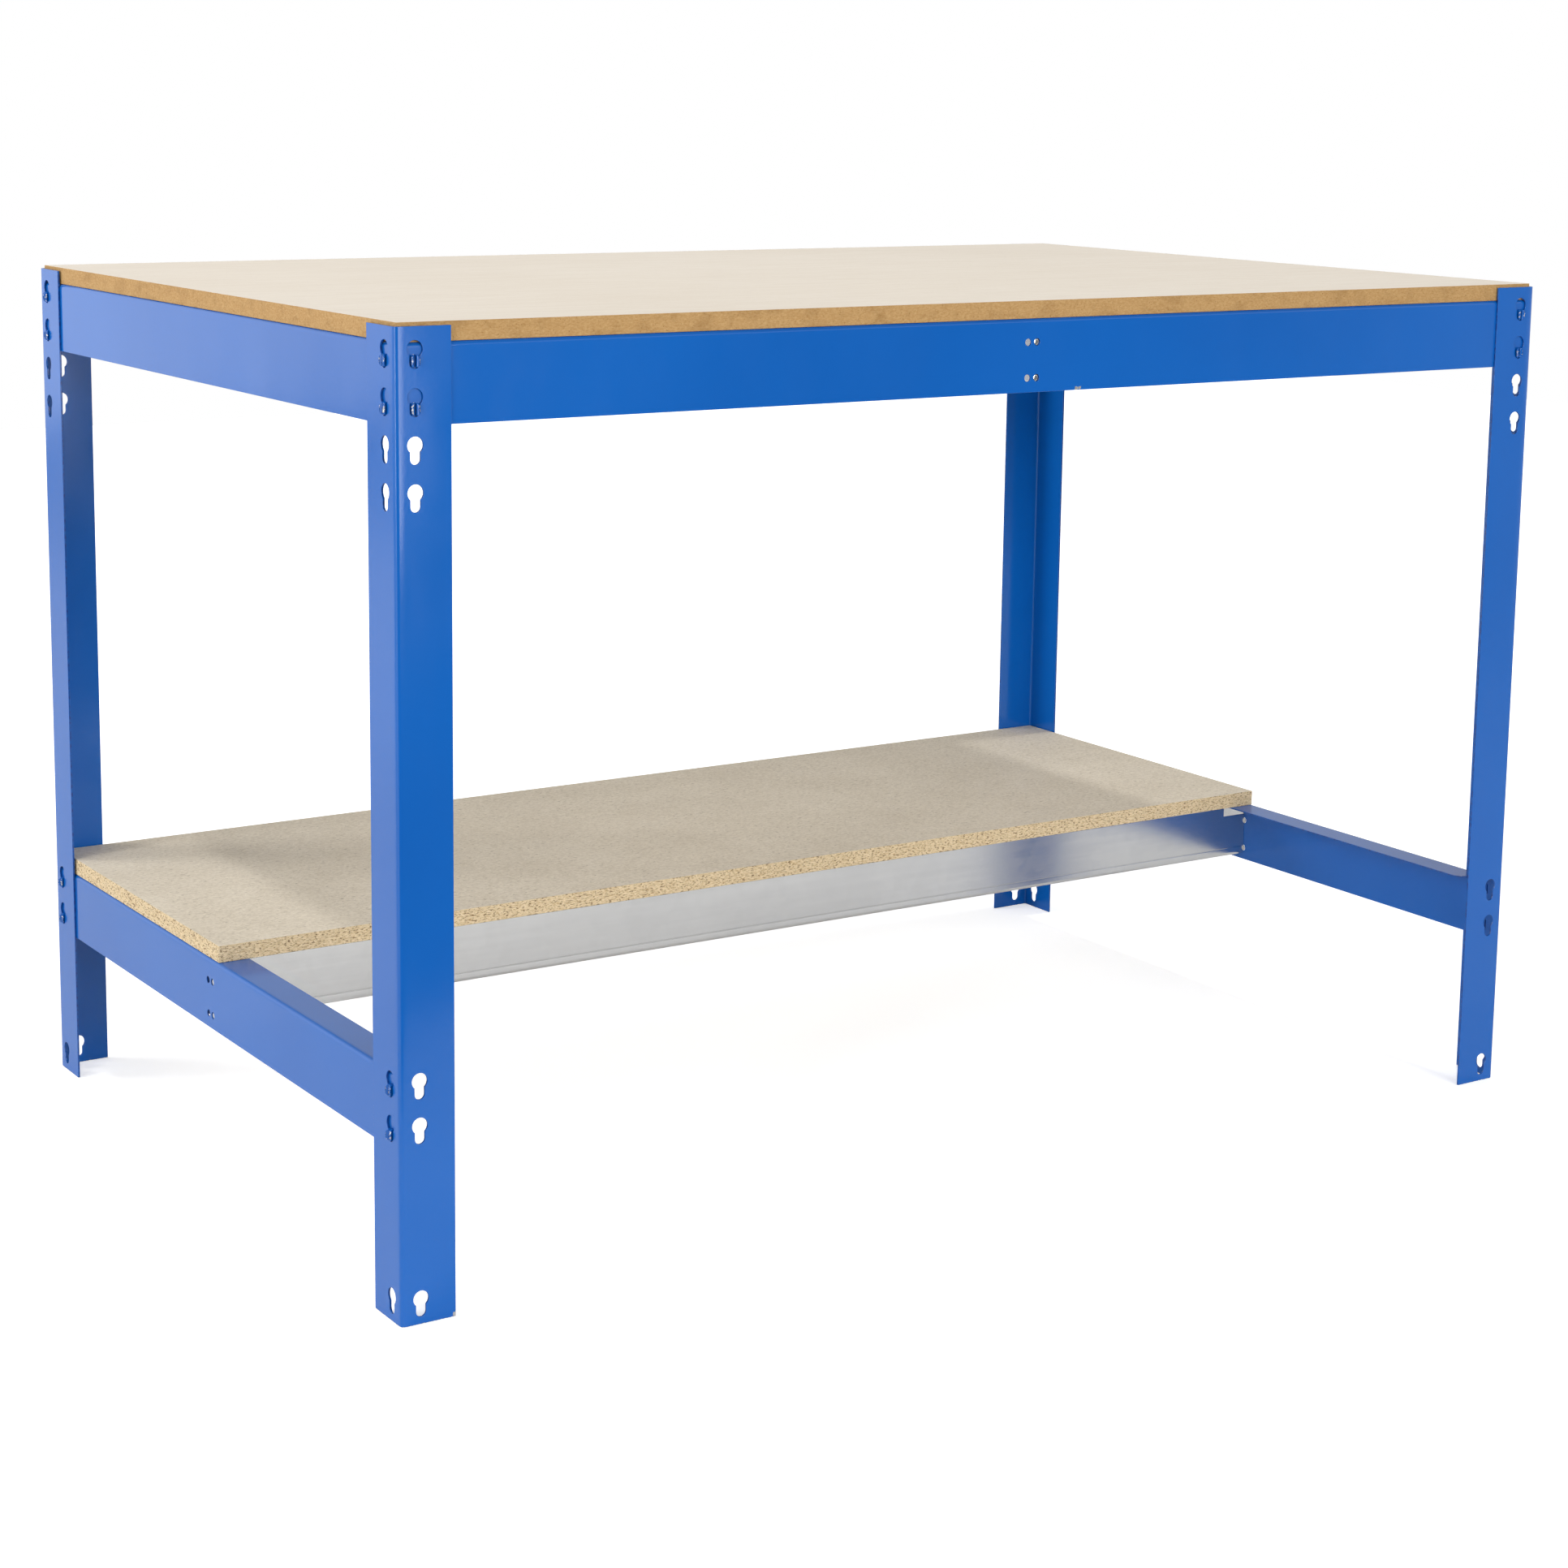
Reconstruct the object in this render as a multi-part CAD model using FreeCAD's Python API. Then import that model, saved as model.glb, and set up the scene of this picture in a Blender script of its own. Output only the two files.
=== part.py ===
import FreeCAD, Part
import math
import os

from FreeCAD import Placement, Rotation, Vector

# A boltless workbench in millimetres: four keyhole uprights, folded beams that hook into them,
# two galvanised ties, a full-depth worktop and a shelf over the rear half.
# X runs along the width, Y towards the back and Z up, from the floor under the bench's middle.

# Bench, measured over the faces of the uprights
bench_width = 1260.0
bench_depth = 800.0

# Uprights: an equal angle folded from one sheet
upright_height = 825.0
upright_flange = 50.0
upright_sheet = 2.0
upright_bend = 4.0

# Keyholes: a round entry with a narrower slot hanging from it, which ends in three flats
keyhole_entry_diameter = 14.0
keyhole_slot_width = 9.0
keyhole_slot_drop = 11.0
keyhole_inset = 18.0
keyhole_pitch = 38.0
top_row_below_top = 18.0
top_row_count = 4
low_row_height = 209.0
low_row_count = 2
foot_row_height = 22.0

# Beams: a web with one inward flange along its top
beam_sheet = 1.5
beam_bend = 4.0
beam_flange = 32.0
beam_end_clearance = 4.5
beam_mitre_gap = 1.0

# Lugs: pairs of ears lanced out of the web, which drop into the keyhole slots
lug_count = 2
lug_height = 10.0
lug_slit = 2.5
lug_below_beam_top = 14.5
lug_above_beam_bottom = 13.5
lug_seat_clearance = 0.2
ear_face_clearance = 0.3
ear_angle = 60.0
ear_tail = 3.2
ear_tip_cut = 2.4

# Tie holes: two columns of round holes at the middle of a beam
tie_hole_diameter = 6.5
tie_hole_below_top = 21.0
tie_hole_pitch = 32.0
tie_hole_spacing = 10.0
tie_hole_rows = 2

# Galvanised ties: a channel with a wide top flange and a narrow bottom lip
tie_sheet = 1.2
tie_bend = 4.0
tie_flange = 26.0
tie_lip = 10.0
tie_below_tooth = 7.0
tie_notch_depth = 13.0
tie_notch_clearance = 1.0
tie_end_clearance = 0.3
tooth_fit_clearance = 0.4
tooth_recess = 0.2

# Boards
worktop_thickness = 16.0
shelf_thickness = 16.0
board_clearance = 1.5
board_edge_ease = 0.6
shelf_front_overhang = 12.0

# Sizes that follow from the ones above
slot_half_width = keyhole_slot_width / 2
entry_radius = keyhole_entry_diameter / 2
slot_end_half_flat = slot_half_width * math.tan(math.pi / 8)  # half a side of the octagon round the slot
neck_half_width = lug_slit / 2 + beam_sheet
neck_seat_below_slot = slot_half_width + slot_end_half_flat - neck_half_width
lug_bottom_below_entry = keyhole_slot_drop + neck_seat_below_slot - lug_seat_clearance
lug_below_entry = lug_bottom_below_entry - lug_height / 2
beam_above_entry = lug_below_beam_top - lug_below_entry
beam_web = lug_below_beam_top + (lug_count - 1) * keyhole_pitch + lug_above_beam_bottom
top_row_height = upright_height - top_row_below_top
top_beam_level = top_row_height + beam_above_entry
low_beam_level = low_row_height + beam_above_entry
half_inner_width = bench_width / 2 - upright_sheet
half_inner_depth = bench_depth / 2 - upright_sheet
tie_web = tie_hole_below_top + (tie_hole_rows - 1) * tie_hole_pitch + tie_below_tooth
tooth_height = math.sqrt((tie_hole_diameter - tooth_fit_clearance) ** 2 - tie_sheet**2)
tie_column = tie_hole_spacing / 2
shelf_beam_face = -tie_column - tie_sheet / 2


def folded_sheet(path, sheet, bend, to_space, run):
    """Extrudes a sheet folded along a path of outer corners that all turn left, by the vector run."""
    points = [Vector(u, v, 0) for u, v in path]
    steps = [(b - a).normalize() for a, b in zip(points, points[1:])]
    turns = list(zip(points[1:-1], steps, steps[1:]))
    first_in = Vector(-steps[0].y, steps[0].x, 0) * sheet
    last_in = Vector(-steps[-1].y, steps[-1].x, 0) * sheet

    def side(radius, start, end):
        """One face of the sheet, as straight stretches joined by arcs round the bend centres."""
        edges = []
        here = start
        for corner, before, after in turns:
            centre = corner - before * bend + after * bend
            into = centre - after * radius
            out = centre + before * radius
            crown = centre + (before - after) * (radius / math.sqrt(2))
            edges.append(Part.LineSegment(to_space(here), to_space(into)).toShape())
            edges.append(Part.Arc(to_space(into), to_space(crown), to_space(out)).toShape())
            here = out
        edges.append(Part.LineSegment(to_space(here), to_space(end)).toShape())
        return edges

    outer = side(bend, points[0], points[-1])
    inner = side(bend - sheet, points[0] + first_in, points[-1] + last_in)
    caps = [
        Part.LineSegment(to_space(points[0]), to_space(points[0] + first_in)).toShape(),
        Part.LineSegment(to_space(points[-1]), to_space(points[-1] + last_in)).toShape(),
    ]
    wire = Part.Wire(Part.__sortEdges__(outer + caps + inner))
    return Part.Face(wire).extrude(run)


def block(x_range, y_range, z_range):
    """A box between three pairs of limits."""
    low = Vector(x_range[0], y_range[0], z_range[0])
    sizes = [high - lowest for lowest, high in (x_range, y_range, z_range)]
    return Part.makeBox(*sizes, low)


def keyhole_cutter(entry_centre, across, through):
    """A keyhole-shaped prism, with its entry centred at a point on a flange's outer face."""
    meet = math.sqrt(entry_radius**2 - slot_half_width**2)
    slot_outline = [
        (-slot_half_width, -meet),
        (-slot_half_width, -keyhole_slot_drop - slot_end_half_flat),
        (-slot_end_half_flat, -keyhole_slot_drop - slot_half_width),
        (slot_end_half_flat, -keyhole_slot_drop - slot_half_width),
        (slot_half_width, -keyhole_slot_drop - slot_end_half_flat),
        (slot_half_width, -meet),
    ]

    def at(sideways, up):
        return entry_centre + across * sideways + Vector(0, 0, up)

    slot = Part.makePolygon([at(*corner) for corner in slot_outline])
    entry = Part.Arc(at(*slot_outline[-1]), at(0, entry_radius), at(*slot_outline[0])).toShape()
    return Part.Face(Part.Wire(slot.Edges + [entry])).extrude(through)


def keyhole_levels():
    """Heights of the keyhole entries: a group at the top, a group for the shelf and one at the foot."""
    top = [top_row_height - row * keyhole_pitch for row in range(top_row_count)]
    low = [low_row_height - row * keyhole_pitch for row in range(low_row_count)]
    return top + low + [foot_row_height]


def upright():
    """An upright with its outer corner on the Z axis and its flanges along +X and +Y."""
    path = [(0, upright_flange), (0, 0), (upright_flange, 0)]
    body = folded_sheet(path, upright_sheet, upright_bend, lambda p: p, Vector(0, 0, upright_height))
    along_x, along_y = Vector(1, 0, 0), Vector(0, 1, 0)
    cutters = []
    for level in keyhole_levels():
        up = Vector(0, 0, level)
        cutters.append(keyhole_cutter(along_x * keyhole_inset + up, along_x, along_y * upright_sheet))
        cutters.append(keyhole_cutter(along_y * keyhole_inset + up, along_y, along_x * upright_sheet))
    return body.cut(cutters)


def ear(side):
    """One ear of a lug, on the right for side 1 and on the left for side -1, standing out along -Y."""
    root = beam_sheet / 2
    turn = math.radians(ear_angle)
    along = Vector(math.sin(turn), -math.cos(turn), 0)
    through = Vector(-math.cos(turn), -math.sin(turn), 0) * beam_sheet
    inner_bend = Vector(neck_half_width, -upright_sheet - ear_face_clearance, 0)
    outer_bend = inner_bend + through - along * (beam_sheet * math.tan(turn / 2))
    inner_tip = inner_bend + along * ear_tail
    outer_tip = inner_tip + through
    outline = [
        Vector(lug_slit / 2, root, 0),
        Vector(neck_half_width, root, 0),
        inner_bend,
        inner_tip,
        outer_tip,
        outer_bend,
        Vector(lug_slit / 2, root, 0),
    ]
    flat = Part.makePolygon([Vector(side * p.x, p.y, -lug_height / 2) for p in outline])
    bent = Part.Face(flat).extrude(Vector(0, 0, lug_height))

    # Seen from the side, the blank is square at the web and cut back at the tip's two corners
    half_height = lug_height / 2
    cut_height = half_height - ear_tip_cut
    blank = [
        (root, -half_height),
        (outer_tip.y + ear_tip_cut, -half_height),
        (outer_tip.y, -cut_height),
        (outer_tip.y, cut_height),
        (outer_tip.y + ear_tip_cut, half_height),
        (root, half_height),
        (root, -half_height),
    ]
    reach = inner_tip.x
    edge = Part.makePolygon([Vector(-reach, out, up) for out, up in blank])
    return bent.common(Part.Face(edge).extrude(Vector(2 * reach, 0, 0)))


def beam(half_run, has_tie_holes):
    """A beam along X, its web's outer face on Y = 0, its flange towards +Y and its top on Z = 0."""
    web_half = half_run - beam_sheet - beam_end_clearance
    path = [(beam_flange, 0), (0, 0), (0, -beam_web)]
    body = folded_sheet(
        path, beam_sheet, beam_bend, lambda p: Vector(-web_half, p.x, p.y), Vector(2 * web_half, 0, 0)
    )
    mitre_reach = half_run - beam_mitre_gap
    mitre = Part.makePolygon([
        Vector(-mitre_reach, 0, 0),
        Vector(mitre_reach, 0, 0),
        Vector(mitre_reach - beam_flange, beam_flange, 0),
        Vector(beam_flange - mitre_reach, beam_flange, 0),
        Vector(-mitre_reach, 0, 0),
    ])
    body = body.common(Part.Face(mitre).extrude(Vector(0, 0, -beam_web)))

    lug_from_middle = half_run + upright_sheet - keyhole_inset
    ears = []
    cutters = []
    for end in (-1, 1):
        for row in range(lug_count):
            place = Vector(end * lug_from_middle, 0, -lug_below_beam_top - row * keyhole_pitch)
            slit = block(
                (-lug_slit / 2, lug_slit / 2), (0, beam_sheet), (-lug_height / 2, lug_height / 2)
            )
            cutters.append(slit.translated(place))
            ears += [ear(side).translated(place) for side in (-1, 1)]
    if has_tie_holes:
        for column in (-1, 1):
            for row in range(tie_hole_rows):
                place = Vector(
                    column * tie_hole_spacing / 2, 0, -tie_hole_below_top - row * tie_hole_pitch
                )
                cutters.append(
                    Part.makeCylinder(tie_hole_diameter / 2, beam_sheet, place, Vector(0, 1, 0))
                )
    return body.cut(cutters).fuse(ears).removeSplitter()


def tie(half_run):
    """A galvanised channel along X between two beams, its web's face on Y = 0 and its top on Z = 0."""
    end = half_run - beam_sheet - tie_end_clearance
    path = [(tie_flange, 0), (0, 0), (0, -tie_web), (tie_lip, -tie_web)]
    body = folded_sheet(
        path, tie_sheet, tie_bend, lambda p: Vector(-end, p.x, p.y), Vector(2 * end, 0, 0)
    )
    notch_start = half_run - beam_flange - tie_notch_clearance
    tooth_length = tie_end_clearance + beam_sheet - tooth_recess
    notches = []
    teeth = []
    for side in (-1, 1):
        notch_span = sorted((side * notch_start, side * end))
        notches.append(block(notch_span, (0, tie_flange), (-tie_notch_depth, 0)))
        tooth_span = sorted((side * end, side * (end + tooth_length)))
        for row in range(tie_hole_rows):
            middle = -tie_hole_below_top - row * tie_hole_pitch
            tooth_rise = (middle - tooth_height / 2, middle + tooth_height / 2)
            teeth.append(block(tooth_span, (0, tie_sheet), tooth_rise))
    return body.cut(notches).fuse(teeth).removeSplitter()


def board(x_range, y_range, z_range):
    """A sawn board with its sharp edges eased."""
    body = block(x_range, y_range, z_range)
    return body.makeChamfer(board_edge_ease, body.Edges)


def placed(shape, turn, x, y, z):
    """A copy of a shape, turned about Z by some degrees and moved to its place."""
    copy = shape.copy()
    copy.Placement = Placement(Vector(x, y, z), Rotation(Vector(0, 0, 1), turn))
    return copy


parts = {}

angle = upright()
corners = {
    "front_left": (0, -1, -1),
    "front_right": (90, 1, -1),
    "back_right": (180, 1, 1),
    "back_left": (270, -1, 1),
}
for corner, (turn, x_side, y_side) in corners.items():
    parts["upright_" + corner] = placed(
        angle, turn, x_side * bench_width / 2, y_side * bench_depth / 2, 0
    )

plain_long_beam = beam(half_inner_width, False)
holed_long_beam = beam(half_inner_width, True)
plain_side_beam = beam(half_inner_depth, False)
holed_side_beam = beam(half_inner_depth, True)
parts["top_beam_front"] = placed(holed_long_beam, 0, 0, -half_inner_depth, top_beam_level)
parts["top_beam_back"] = placed(holed_long_beam, 180, 0, half_inner_depth, top_beam_level)
parts["top_beam_left"] = placed(plain_side_beam, -90, -half_inner_width, 0, top_beam_level)
parts["top_beam_right"] = placed(plain_side_beam, 90, half_inner_width, 0, top_beam_level)
parts["lower_beam_left"] = placed(holed_side_beam, -90, -half_inner_width, 0, low_beam_level)
parts["lower_beam_right"] = placed(holed_side_beam, 90, half_inner_width, 0, low_beam_level)
parts["lower_beam_back"] = placed(plain_long_beam, 180, 0, half_inner_depth, low_beam_level)

parts["shelf_front_beam"] = placed(tie(half_inner_width), 0, 0, shelf_beam_face, low_beam_level)
parts["worktop_cross_tie"] = placed(
    tie(half_inner_depth), -90, tie_column - tie_sheet / 2, 0, top_beam_level
)

board_half_width = half_inner_width - board_clearance
board_half_depth = half_inner_depth - board_clearance
parts["worktop_board"] = board(
    (-board_half_width, board_half_width),
    (-board_half_depth, board_half_depth),
    (top_beam_level, top_beam_level + worktop_thickness),
)
parts["shelf_board"] = board(
    (-board_half_width, board_half_width),
    (shelf_beam_face - shelf_front_overhang, board_half_depth),
    (low_beam_level, low_beam_level + shelf_thickness),
)

os.makedirs("parts", exist_ok=True)
for name, shape in parts.items():
    shape.exportStep("parts/" + name + ".step")
    print(name, len(shape.Solids), "solid", round(shape.Volume), "mm3", "valid", shape.isValid())
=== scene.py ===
from math import asin, cos, degrees, pi, radians, sin, sqrt, tan

import bmesh
import bpy
from mathutils import Matrix, Vector


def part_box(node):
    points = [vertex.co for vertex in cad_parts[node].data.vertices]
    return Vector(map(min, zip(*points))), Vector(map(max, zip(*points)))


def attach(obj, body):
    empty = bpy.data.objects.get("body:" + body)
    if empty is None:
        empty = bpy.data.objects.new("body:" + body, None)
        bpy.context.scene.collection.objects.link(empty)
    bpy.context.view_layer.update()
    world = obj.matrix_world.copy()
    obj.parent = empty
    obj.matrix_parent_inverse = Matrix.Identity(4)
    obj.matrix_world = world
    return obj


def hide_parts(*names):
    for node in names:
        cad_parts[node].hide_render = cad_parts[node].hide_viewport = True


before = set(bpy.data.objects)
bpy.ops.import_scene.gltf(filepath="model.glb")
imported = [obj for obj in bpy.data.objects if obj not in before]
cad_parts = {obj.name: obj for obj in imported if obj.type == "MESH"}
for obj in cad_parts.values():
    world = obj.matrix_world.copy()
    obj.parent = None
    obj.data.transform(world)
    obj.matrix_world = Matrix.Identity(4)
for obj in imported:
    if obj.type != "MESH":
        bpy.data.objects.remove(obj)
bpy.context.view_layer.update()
scene = bpy.context.scene
mm = 0.001  # sizes in the dictionaries are millimetres, meshes are metres
sharpTurn = 38  # degrees; edges that turn more than this are eased
print("frame loaded with", len(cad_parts), "nodes")


# Small helpers for meshes and node trees
def addObject(name, mesh):
    made = bpy.data.objects.new(name, mesh)
    scene.collection.objects.link(made)
    return made


def meshFrom(name, points, faces):
    mesh = bpy.data.meshes.new(name)
    mesh.from_pydata([tuple(p) for p in points], [], faces)
    mesh.update()
    return mesh


def solidFrom(name, points, faces):
    # a closed mesh whose faces all point outwards
    mesh = meshFrom(name, points, faces)
    shape = bmesh.new()
    shape.from_mesh(mesh)
    bmesh.ops.recalc_face_normals(shape, faces=shape.faces)
    shape.to_mesh(mesh)
    shape.free()
    return mesh


def fill(tree, node, sockets):
    # links or sets a node's inputs; a node given as a value stands for its first output
    for key, value in sockets.items():
        if isinstance(value, bpy.types.Node):
            value = value.outputs[0]
        if isinstance(value, bpy.types.NodeSocket):
            tree.links.new(value, node.inputs[key])
        else:
            node.inputs[key].default_value = value


def put(tree, kind, sockets=None, **settings):
    # adds a node, sets its options and fills its inputs
    node = tree.nodes.new(kind)
    for key, value in settings.items():
        setattr(node, key, value)
    fill(tree, node, sockets or {})
    return node


def link(kind, sockets, **settings):
    # adds a node to the tree of the nodes or sockets that it's given
    tree = next(v.id_data for v in sockets.values() if isinstance(v, (bpy.types.Node, bpy.types.NodeSocket)))
    return put(tree, kind, sockets, **settings)


def calc(operation, first, second=0.0, third=0.0):
    return link("ShaderNodeMath", {0: first, 1: second, 2: third}, operation=operation).outputs[0]


def vectorCalc(operation, first, second=(0, 0, 0)):
    made = link("ShaderNodeVectorMath", {0: first, 1: second}, operation=operation)
    return made.outputs["Value" if operation in ("DOT_PRODUCT", "DISTANCE", "LENGTH") else "Vector"]


def ramp(value, low, high, toLow=0.0, toHigh=1.0, easing="LINEAR"):
    limits = {"From Min": low, "From Max": high, "To Min": toLow, "To Max": toHigh}
    return link("ShaderNodeMapRange", {"Value": value, **limits}, interpolation_type=easing).outputs[0]


def newMaterial(name):
    # the material, and the coordinates that its pattern follows
    material = bpy.data.materials.new(name)
    material.use_nodes = True
    place = put(material.node_tree, "ShaderNodeTexCoord").outputs["Object"]
    return material, place


def paint(material, sockets):
    fill(material.node_tree, material.node_tree.nodes["Principled BSDF"], sockets)
    return material


def makeTree(name, inputs):
    tree = bpy.data.node_groups.new(name, "GeometryNodeTree")
    tree.interface.new_socket("Geometry", in_out="INPUT", socket_type="NodeSocketGeometry")
    tree.interface.new_socket("Geometry", in_out="OUTPUT", socket_type="NodeSocketGeometry")
    for label, kind in inputs:
        tree.interface.new_socket(label, in_out="INPUT", socket_type="NodeSocket" + kind)
    return tree, tree.nodes.new("NodeGroupInput").outputs


def closeTree(geometry, material):
    whole = link("GeometryNodeRealizeInstances", {"Geometry": geometry})
    painted = link("GeometryNodeSetMaterial", {"Geometry": whole, "Material": material})
    link("NodeGroupOutput", {"Geometry": painted})


def runTree(target, tree, values):
    step = target.modifiers.new(tree.name, "NODES")
    step.node_group = tree
    names = {s.name: s.identifier for s in tree.interface.items_tree if s.in_out == "INPUT"}
    for label, value in values.items():
        step[names[label]] = value


def settle(target):
    # turns what the modifiers give into a plain mesh
    graph = bpy.context.evaluated_depsgraph_get()
    mesh = bpy.data.meshes.new_from_object(target.evaluated_get(graph), depsgraph=graph)
    target.modifiers.clear()
    target.data = mesh
    return mesh


def easeEdges(target, width, segments=2):
    rounded = target.modifiers.new("ease", "BEVEL")
    rounded.width = width * mm
    rounded.segments = segments
    rounded.limit_method = "ANGLE"
    rounded.angle_limit = radians(sharpTurn)
    rounded.use_clamp_overlap = False
    weighted = target.modifiers.new("weighted", "WEIGHTED_NORMAL")
    weighted.keep_sharp = True


def discard(*targets):
    for target in targets:
        bpy.data.objects.remove(target)


def finishPiece(target, body, slot, *nodes):
    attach(target, body)
    if nodes:
        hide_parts(*nodes)


# Camera at the photograph's angle
cameraView = {
    "eye": (-1.6806, -2.568, 1.0171),
    "azimuth": 33.177,
    "pitch": -9.518,
    "roll": 0.762,
    "lens": 70.335,
    "sensor": 36,
    "shiftY": -0.12,
    "clipEnd": 100,
}


def aimCamera():
    azimuth, pitch, roll = (radians(cameraView[k]) for k in ("azimuth", "pitch", "roll"))
    level = cos(pitch)
    ahead = Vector((sin(azimuth) * level, cos(azimuth) * level, sin(pitch)))
    right = Vector((cos(azimuth), -sin(azimuth), 0))
    up = right.cross(ahead)
    sideways = right * cos(roll) + up * sin(roll)
    upright = up * cos(roll) - right * sin(roll)
    lens = bpy.data.cameras.new("benchCamera")
    lens.lens = cameraView["lens"]
    lens.sensor_width = cameraView["sensor"]
    lens.shift_y = cameraView["shiftY"]
    lens.clip_end = cameraView["clipEnd"]
    camera = addObject("benchCamera", lens)
    turn = Matrix((sideways, upright, -ahead)).transposed().to_4x4()
    camera.matrix_world = Matrix.Translation(cameraView["eye"]) @ turn
    scene.camera = camera


aimCamera()
print("camera set")


# Pale paper floor and soft studio light
studio = {
    "paperCorners": ((-6, -0.2), (-0.9, -0.85), (2.0, -2.2), (6, -2.2), (6, 6), (-6, 6)),
    "paperLevel": -0.0004,
    "paper": (0.9, 0.9, 0.9),
    "paperRoughness": 0.9,
    "paperSpecular": 0.1,
    "paperGlow": (0.52, 1.0),
    "paperGlowReach": (1.3, 3.0),
    # strengths of the light around, and the heights or directions, as cosines, between which each comes in
    "backdrop": 1.35,
    "ceiling": 0.2,
    "ceilingRise": (0.25, 0.7),
    "backRight": 0.5,
    "backRightWay": (0.6, 0.8, 0),
    "backRightSpread": (0.5, 0.95),
    "darkFront": 0.14,
    "darkFrontSpread": (0.5, 0.78),
    "darkFrontRise": (0.42, 0.2),
    "panels": {
        "overLeft": {"at": (-1.25, 0.2, 3.2), "to": (0, 0.1, 0.5), "size": (0.16, 0.16), "power": 18},
        "overRight": {"at": (1.3, 0.3, 3.2), "to": (0, 0.1, 0.5), "size": (0.16, 0.16), "power": 18},
        "frontHigh": {"at": (-0.3, -4.2, 1.75), "to": (0, 0, 0.4), "size": (3.0, 0.9), "power": 93},
        "leftHigh": {"at": (-3.6, 2.4, 2.0), "to": (-1.4, 1.6, 0), "size": (1.6, 1.6), "power": 70},
        "frontStrip": {"at": (0.38, -3.23, 0.6), "to": (-0.62, -0.4, 0.6), "size": (0.5, 0.8), "power": 7.5},
        "leftStrip": {"at": (-3.4, -2.0, 1.2), "to": (-0.6, -0.4, 0.6), "size": (0.35, 2.0), "power": 24},
    },
}


def paperFloor():
    corners = [(x, y, studio["paperLevel"]) for x, y in studio["paperCorners"]]
    mesh = meshFrom("paperFloor", corners, [list(range(len(corners)))])
    paper, place = newMaterial("paper")
    # the paper brightens away from the bench, so that its far edge doesn't show against the backdrop
    away = vectorCalc("LENGTH", place)
    glow = ramp(away, *studio["paperGlowReach"], *studio["paperGlow"])
    seen = put(paper.node_tree, "ShaderNodeLightPath").outputs["Is Camera Ray"]
    paint(paper, {
        "Base Color": (*studio["paper"], 1),
        "Roughness": studio["paperRoughness"],
        "Specular IOR Level": studio["paperSpecular"],
        "Emission Color": (1, 1, 1, 1),
        "Emission Strength": calc("MULTIPLY", seen, glow),
    })
    mesh.materials.append(paper)
    addObject("paperFloor", mesh)


def surroundLight():
    # light from the sides and the back, dimmer overhead, to the back right and low down in front
    world = bpy.data.worlds.new("studio")
    world.use_nodes = True
    scene.world = world
    tree = world.node_tree
    tree.nodes.clear()
    way = put(tree, "ShaderNodeTexCoord").outputs["Generated"]
    rise = link("ShaderNodeSeparateXYZ", {"Vector": way}).outputs["Z"]
    toFront = vectorCalc("DOT_PRODUCT", way, (0, -1, 0))
    toBackRight = vectorCalc("DOT_PRODUCT", way, studio["backRightWay"])
    front = ramp(toFront, *studio["darkFrontSpread"], easing="SMOOTHSTEP")
    low = ramp(rise, *studio["darkFrontRise"], easing="SMOOTHSTEP")
    room = ramp(rise, *studio["ceilingRise"], studio["backdrop"], studio["ceiling"], "SMOOTHSTEP")
    share = ramp(toBackRight, *studio["backRightSpread"], 1.0, studio["backRight"], "SMOOTHSTEP")
    room = calc("MULTIPLY", room, share)
    strength = ramp(calc("MULTIPLY", front, low), 0.0, 1.0, room, studio["darkFront"])
    light = link("ShaderNodeBackground", {"Color": (1, 1, 1, 1), "Strength": strength})
    backdrop = put(tree, "ShaderNodeBackground", {"Color": (1, 1, 1, 1), "Strength": 1.0})
    seen = put(tree, "ShaderNodeLightPath").outputs["Is Camera Ray"]
    chosen = link("ShaderNodeMixShader", {0: seen, 1: light, 2: backdrop})
    link("ShaderNodeOutputWorld", {"Surface": chosen})


def softPanels():
    for name, panel in studio["panels"].items():
        lamp = bpy.data.lights.new(name, "AREA")
        lamp.shape = "RECTANGLE"
        lamp.size, lamp.size_y = panel["size"]
        lamp.energy = panel["power"]
        holder = addObject(name, lamp)
        holder.location = panel["at"]
        aim = Vector(panel["to"]) - Vector(panel["at"])
        holder.rotation_euler = aim.to_track_quat("-Z", "Y").to_euler()
        holder.visible_camera = False


paperFloor()
surroundLight()
softPanels()
scene.view_settings.view_transform = "Standard"
print("studio lit")


# Finishes
def attribute(material, name):
    return put(material.node_tree, "ShaderNodeAttribute", attribute_name=name).outputs["Fac"]


def stretched(vector, scale):
    return link("ShaderNodeMapping", {"Vector": vector, "Scale": scale}).outputs[0]


def noise(vector, scale, detail=2.0, roughness=0.5, stretch=None):
    vector = stretched(vector, stretch) if stretch else vector
    sockets = {"Vector": vector, "Scale": scale, "Detail": detail, "Roughness": roughness}
    return link("ShaderNodeTexNoise", sockets).outputs["Fac"]


def grains(vector, scale):
    # one random value for each cell of a pattern
    cells = link("ShaderNodeTexVoronoi", {"Vector": vector, "Scale": scale})
    return link("ShaderNodeSeparateColor", {"Color": cells.outputs["Color"]}).outputs[0]


def mixColour(amount, first, second):
    # each colour is three numbers, or a socket that carries a mixed one
    pair = [c if isinstance(c, bpy.types.NodeSocket) else (*c, 1) for c in (first, second)]
    return link("ShaderNodeMix", {0: amount, 6: pair[0], 7: pair[1]}, data_type="RGBA").outputs[2]


def bumps(height, distance, normal=None):
    sockets = {"Height": height, "Distance": distance, "Strength": 1.0}
    if normal is not None:
        sockets["Normal"] = normal
    return link("ShaderNodeBump", sockets).outputs[0]


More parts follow.
